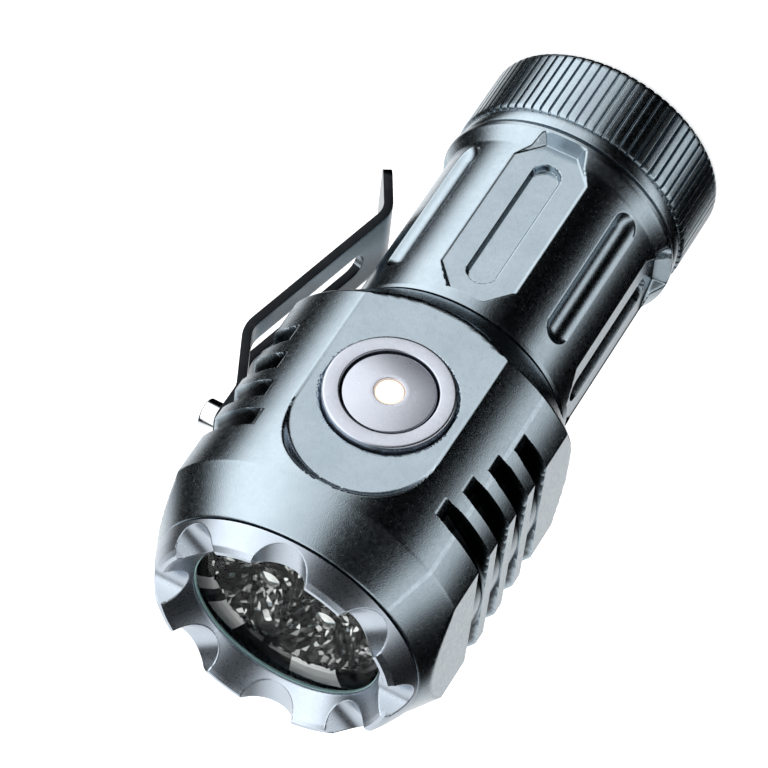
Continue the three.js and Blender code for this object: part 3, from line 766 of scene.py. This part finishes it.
def optic_pieces():
    spots = []
    for index in range(4):
        angle = math.radians(LED_ANGLE + 90.0 * index)
        spots.append((LED_RADIUS * math.cos(angle), LED_RADIUS * math.sin(angle)))
        optic_eye(index + 1, *spots[-1])
    optic_surface(spots)
    optic_rim()
    edge = rounded([(9.45, 63.02), (9.62, 63.02), (9.62, 63.3), (9.45, 63.3)], 0.04, 3)
    rim = lathe("glass_edge", edge, "light_body", GLASS_EDGE, 128)
    glass = rounded([(0.01, 61.4), (10.8, 61.4), (10.8, 62.9), (0.01, 62.9)], [0, 0.12, 0.12, 0], 4)
    piece = lathe("glass_window", glass, "light_body", GLASS, 160, closed=False)
    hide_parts("glass_lens")


optic_pieces()

# ---- clip and screw --------------------------------------------------------------------------


def clip_centreline():
    """Points along the strip with its bends rounded, and the length up to each."""
    corners = np.array(CLIP_PATH)
    points = [corners[0]]
    for i in range(1, len(corners) - 1):
        before = corners[i - 1] - corners[i]
        after = corners[i + 1] - corners[i]
        before /= np.linalg.norm(before)
        after /= np.linalg.norm(after)
        half = math.acos(np.clip(before @ after, -1.0, 1.0)) / 2
        reach = CLIP_BEND_R[i] / math.tan(half)
        start, end = corners[i] + before * reach, corners[i] + after * reach
        for t in np.linspace(0.0, 1.0, 14):
            points.append((1 - t) ** 2 * start + 2 * t * (1 - t) * corners[i] + t * t * end)
    points.append(corners[-1])
    points = np.array(points)
    lengths = np.concatenate([[0.0], np.cumsum(np.linalg.norm(np.diff(points, axis=0), axis=1))])
    return points, lengths


def clip_piece():
    points, lengths = clip_centreline()
    total = lengths[-1]
    slot_ends = [np.interp(-z, -points[:, 1], lengths) for z in CLIP_SLOT_Z]
    slot_low, slot_high = min(slot_ends), max(slot_ends)
    corner_front, corner_tip = 0.9, 1.6
    stations = [spaced(0.0, corner_front, 0.09), spaced(corner_front, slot_low, 0.35)]
    bow = CLIP_SLOT_HALF * (1.0 - np.cos(np.linspace(0.0, math.pi / 2, 12)))
    stations += [slot_low + bow, spaced(slot_low + CLIP_SLOT_HALF, slot_high - CLIP_SLOT_HALF, 0.35)]
    stations += [slot_high - bow[::-1], spaced(slot_high, total - corner_tip, 0.35)]
    stations += [total - corner_tip * np.cos(np.linspace(0.0, math.pi / 2, 14))]
    u = np.unique(np.round(np.concatenate(stations), 5))
    x = np.interp(u, lengths, points[:, 0])
    z = np.interp(u, lengths, points[:, 1])
    outer = np.full(u.shape, CLIP_HALF)
    for corner, from_end in ((corner_front, u), (corner_tip, total - u)):
        short = np.clip(corner - from_end, 0.0, corner)
        outer = np.minimum(outer, CLIP_HALF - corner + np.sqrt(np.maximum(corner**2 - short**2, 0.0)))
    into = np.minimum(u - slot_low, slot_high - u)
    bulge = CLIP_SLOT_HALF**2 - np.maximum(CLIP_SLOT_HALF - into, 0.0) ** 2
    inner = np.where(into > 0.0, np.sqrt(np.maximum(bulge, 0.0)), 0.0)
    across = 9
    share = np.linspace(0.0, 1.0, across)[None, :]
    vertices = []
    faces = []
    for side in (-1.0, 1.0):
        y = side * (inner[:, None] + (outer - inner)[:, None] * share)
        block = np.stack([x[:, None] + 0 * y, y, z[:, None] + 0 * y], axis=-1).reshape(-1, 3)
        start = len(vertices) * u.size * across
        vertices.append(block)
        i = np.arange(u.size - 1)[:, None]
        j = np.arange(across - 1)[None, :]
        a = start + i * across + j
        quad = np.stack([a, a + 1, a + across + 1, a + across], axis=-1).reshape(-1, 4)
        faces.append(quad if side < 0 else quad[:, ::-1])
    piece = mesh_piece("pocket_clip", np.concatenate(vertices), np.concatenate(faces), None, SPRING)
    weld = piece.modifiers.new("weld", "WELD")
    weld.merge_threshold = 0.001 * MM
    thick = piece.modifiers.new("thickness", "SOLIDIFY")
    thick.thickness = CLIP_T * MM
    thick.offset = 0.0
    thick.use_even_offset = True
    edge = piece.modifiers.new("edge", "BEVEL")
    edge.width = 0.13 * MM
    edge.segments = 3
    edge.limit_method = "ANGLE"
    edge.angle_limit = math.radians(50.0)
    bpy.context.view_layer.update()
    shaped = piece.evaluated_get(bpy.context.evaluated_depsgraph_get())
    made = bpy.data.meshes.new_from_object(shaped)
    piece.modifiers.clear()
    piece.data = made
    made.set_sharp_from_angle(angle=math.radians(40.0))
    made.materials.append(SPRING_EDGE)
    for face in made.polygons:
        face.material_index = int(abs(face.normal.y) > 0.6 or abs(face.normal.x) < 0.12)
    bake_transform(piece)
    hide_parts("clip_base", "clip_arm")


def screw_piece():
    """A socket-head screw on the X axis side, built round its own axis and turned to +X."""
    sides = 96
    theta = np.arange(sides) * 360.0 / sides
    hexagon = HEX_SIZE * math.cos(math.radians(30.0)) / np.cos(np.radians((theta + 30.0) % 60.0 - 30.0))
    base = SCREW_SEAT_X
    top = base + SCREW_HEAD
    outer = [
        (0.8, 12.0), (0.8, base), (1.42, base), (1.55, base + 0.1), (1.55, top - 0.24), (1.5, top - 0.12),
        (1.4, top - 0.03), (1.25, top)
    ]
    rows = [(r + 0 * theta, h) for r, h in outer]
    rows += [(hexagon * 1.12, top), (hexagon, top - 0.1), (hexagon, top - 0.95)]
    rows.append((0.01 + 0 * theta, top - 1.25))
    turn = np.radians(theta)
    points = []
    for radius, x in rows:
        y = radius * np.cos(turn)
        z = SCREW_Z + radius * np.sin(turn)
        points.append(np.stack([x + 0 * turn, y, z], axis=-1))
    faces = grid_faces(len(rows), sides, False)
    piece = mesh_piece("clip_screw_cap", np.concatenate(points), faces, "light_body", BRIGHT, 38.0)
    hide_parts("clip_screw")


clip_piece()
screw_piece()

# ---- the CAD pieces that keep their shape ----------------------------------------------------

KEPT = {
    "tail_contact_board": BOARD, "tail_spring": GOLD, "tail_oring": RUBBER, "cell_can": WRAP,
    "cell_positive_button": BRIGHT, "head_oring": RUBBER, "driver_retaining_ring": GOLD,
    "driver_board": BOARD,
    "head_contact_spring": GOLD, "switch_board": BOARD, "tactile_switch": RUBBER, "switch_boot": RUBBER,
    "led_board": WHITE_BOARD, "led_1": PHOSPHOR, "led_2": PHOSPHOR, "led_3": PHOSPHOR, "led_4": PHOSPHOR,
    "led_gasket": WHITE_BOARD, "lens_oring": RUBBER, "lead_positive": RED, "lead_negative": BLACK,
}
for node, finish in KEPT.items():
    slots = NODES[node].data.materials
    slots.clear()
    slots.append(finish)

# ---- floor, light and camera -----------------------------------------------------------------


def floor_piece():
    n = Nodes("pale_floor")
    n.link(n.tint(n.noise(40.0), (0.93, 0.93, 0.93), (0.96, 0.96, 0.96)), n.shader.inputs["Base Color"])
    n.set(Roughness=0.9, Emission_Color=(1.0, 1.0, 1.0, 1.0), Emission_Strength=0.6)
    half = 2.5
    corners = [(-half, -half, 0), (half, -half, 0), (half, half, 0), (-half, half, 0)]
    mesh = bpy.data.meshes.new("floor")
    mesh.from_pydata(corners, [], [(0, 1, 2, 3)])
    mesh.materials.append(n.material)
    floor = bpy.data.objects.new("floor", mesh)
    bpy.context.scene.collection.objects.link(floor)
    floor.visible_glossy = False
    floor.visible_transmission = False


# Brightness of what the metal reflects, round the light's axis: (azimuth in degrees, level). Long
# soft strips with dark gaps between them, placed so that the reflections fall as in the photo.
STRIPS = [
    (-180, 0.7), (-174, 1.1), (-166, 1.35), (-158, 1.25), (-151, 0.5), (-146, 0.0), (-99, 0.0),
    (-93, 0.6), (-86, 1.3), (-70, 1.45), (-52, 1.9), (-35, 2.2), (-18, 2.0), (-10, 1.3), (-2, 0.3),
    (3, 0.0), (29, 0.0), (36, 0.8), (46, 1.3), (75, 1.3), (98, 1.05), (110, 0.85), (118, 0.6),
    (124, 0.0), (170, 0.0), (176, 0.2),
]
STRIP_PEAK = 2.2
FADE_Z = (-0.74, -0.64)  # the strips fade to black below this height of the unit direction


def studio_world():
    """An even white room for the camera and for diffuse light, and the strips for reflections."""
    world = bpy.data.worlds.new("studio")
    bpy.context.scene.world = world
    world.use_nodes = True
    tree = world.node_tree
    nodes = tree.nodes
    links = tree.links
    background = nodes["Background"]

    def maths(operation, a, b):
        node = nodes.new("ShaderNodeMath")
        node.operation = operation
        for socket, value in zip(node.inputs, (a, b)):
            if isinstance(value, bpy.types.NodeSocket):
                links.new(value, socket)
            else:
                socket.default_value = value
        return node.outputs[0]

    direction = nodes.new("ShaderNodeTexCoord").outputs["Generated"]
    split = nodes.new("ShaderNodeSeparateXYZ")
    links.new(direction, split.inputs[0])
    azimuth = maths("ARCTAN2", split.outputs["Y"], split.outputs["X"])
    share = maths("MULTIPLY_ADD", azimuth, 0.5 / math.pi)
    share.node.inputs[2].default_value = 0.5
    strips = nodes.new("ShaderNodeValToRGB")
    links.new(share, strips.inputs[0])
    stops = strips.color_ramp.elements
    stops[0].position, stops[1].position = 0.0, 1.0
    for stop in (stops[0], stops[-1]):
        stop.color = (STRIPS[0][1] / STRIP_PEAK,) * 3 + (1.0,)
    for angle, level in STRIPS[1:]:
        stop = stops.new((angle + 180.0) / 360.0)
        stop.color = (level / STRIP_PEAK,) * 3 + (1.0,)
    level = maths("MULTIPLY", strips.outputs["Color"], STRIP_PEAK)
    fade = nodes.new("ShaderNodeMapRange")
    links.new(split.outputs["Z"], fade.inputs["Value"])
    fade.inputs["From Min"].default_value, fade.inputs["From Max"].default_value = FADE_Z
    level = maths("MULTIPLY", level, fade.outputs[0])
    rays = nodes.new("ShaderNodeLightPath")
    open_air = maths("MAXIMUM", rays.outputs["Is Camera Ray"], rays.outputs["Is Diffuse Ray"])
    mix = nodes.new("ShaderNodeMix")
    links.new(open_air, mix.inputs["Factor"])
    links.new(level, mix.inputs["A"])
    mix.inputs["B"].default_value = 1.0
    links.new(mix.outputs["Result"], background.inputs["Strength"])
    background.inputs["Color"].default_value = (1.0, 1.0, 1.0, 1.0)


def camera():
    at = Vector(CAMERA_AT) * MM
    target = Vector(CAMERA_TARGET) * MM
    roll = math.radians(CAMERA_ROLL)
    lens = bpy.data.cameras.new("camera")
    lens.lens = 210.9
    lens.sensor_width = 36.0
    lens.clip_start, lens.clip_end = 0.02, 20.0
    view = bpy.data.objects.new("camera", lens)
    bpy.context.scene.collection.objects.link(view)
    view.location = at
    view.rotation_mode = "QUATERNION"
    view.rotation_quaternion = (target - at).to_track_quat("-Z", "Y") @ Quaternion((0, 0, 1), roll)
    bpy.context.scene.camera = view


floor_piece()
studio_world()
camera()
bpy.context.scene.view_settings.view_transform = "Standard"
